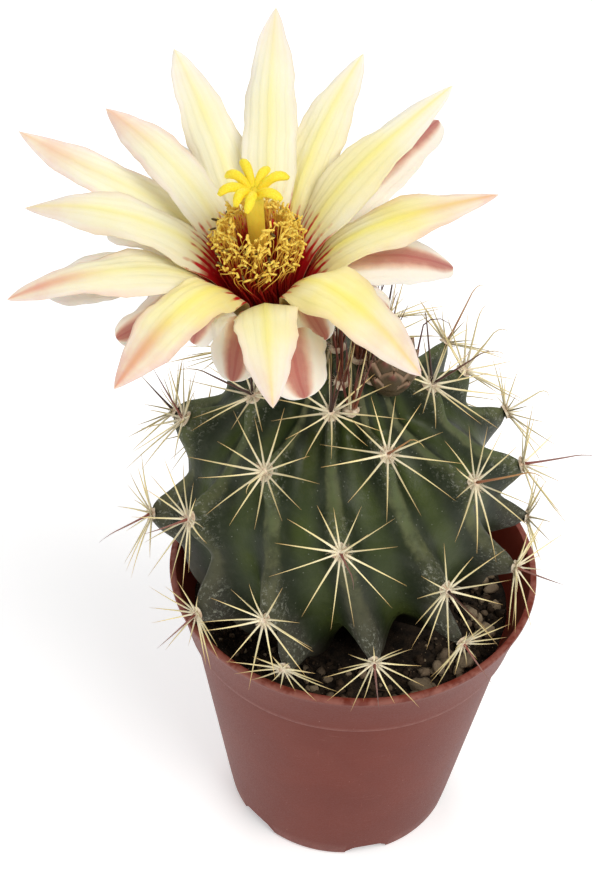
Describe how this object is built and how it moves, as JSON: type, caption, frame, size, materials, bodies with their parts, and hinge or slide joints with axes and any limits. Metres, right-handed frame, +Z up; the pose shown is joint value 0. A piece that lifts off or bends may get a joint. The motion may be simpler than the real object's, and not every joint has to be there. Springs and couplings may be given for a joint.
{
  "type": "potted cactus",
  "caption": "Round ribbed cactus with starry hooked spines, a bud and an open many-petalled flower, planted in a tapered round nursery pot.",
  "frame": {"origin": "centre of the pot's flat underside", "axes": "+Z up along the pot's axis; -Y is the side with the flower's front petals, and the open flower leans towards -X and -Y"},
  "size_m": [0.0743, 0.0617, 0.1286],
  "materials": {
    "pot_plastic": "satin",
    "soil": "matte",
    "stem_skin": "satin",
    "spines": "satin",
    "tube": "matte",
    "petal_inner": "satin",
    "petal_outer": "matte",
    "stamens": "matte",
    "style": "satin",
    "bud": "matte",
    "gravel": "matte"
  },
  "bodies": {
    "root": {"bud": "bud", "flower_tube": "tube", "gravel_1": "gravel", "gravel_2": "gravel", "gravel_3": "gravel", "gravel_4": "gravel", "gravel_5": "gravel", "petal_inner_01": "petal_inner", "petal_inner_02": "petal_inner", "petal_inner_03": "petal_inner", "petal_inner_04": "petal_inner", "petal_inner_05": "petal_inner", "petal_inner_06": "petal_inner", "petal_inner_07": "petal_inner", "petal_inner_08": "petal_inner", "petal_inner_09": "petal_inner", "petal_inner_10": "petal_inner", "petal_inner_11": "petal_inner", "petal_inner_12": "petal_inner", "petal_outer_01": "petal_outer", "petal_outer_02": "petal_outer", "petal_outer_03": "petal_outer", "petal_outer_04": "petal_outer", "petal_outer_05": "petal_outer", "petal_outer_06": "petal_outer", "petal_outer_07": "petal_outer", "petal_outer_08": "petal_outer", "petal_outer_09": "petal_outer", "petal_outer_10": "petal_outer", "petal_outer_11": "petal_outer", "petal_outer_12": "petal_outer", "pot": "pot_plastic", "soil": "soil", "spines_01_1": "spines", "spines_01_2": "spines", "spines_01_3": "spines", "spines_02_1": "spines", "spines_02_2": "spines", "spines_02_3": "spines", "spines_03_1": "spines", "spines_03_2": "spines", "spines_04_1": "spines", "spines_04_2": "spines", "spines_05_1": "spines", "spines_05_2": "spines", "spines_06_1": "spines", "spines_07_1": "spines", "spines_09_1": "spines", "spines_10_1": "spines", "spines_11_1": "spines", "spines_11_2": "spines", "spines_12_1": "spines", "spines_12_2": "spines", "spines_12_3": "spines", "spines_13_1": "spines", "spines_13_2": "spines", "spines_13_3": "spines", "stamens": "stamens", "stem": "stem_skin", "style": "style"}
  },
  "joints": []
}
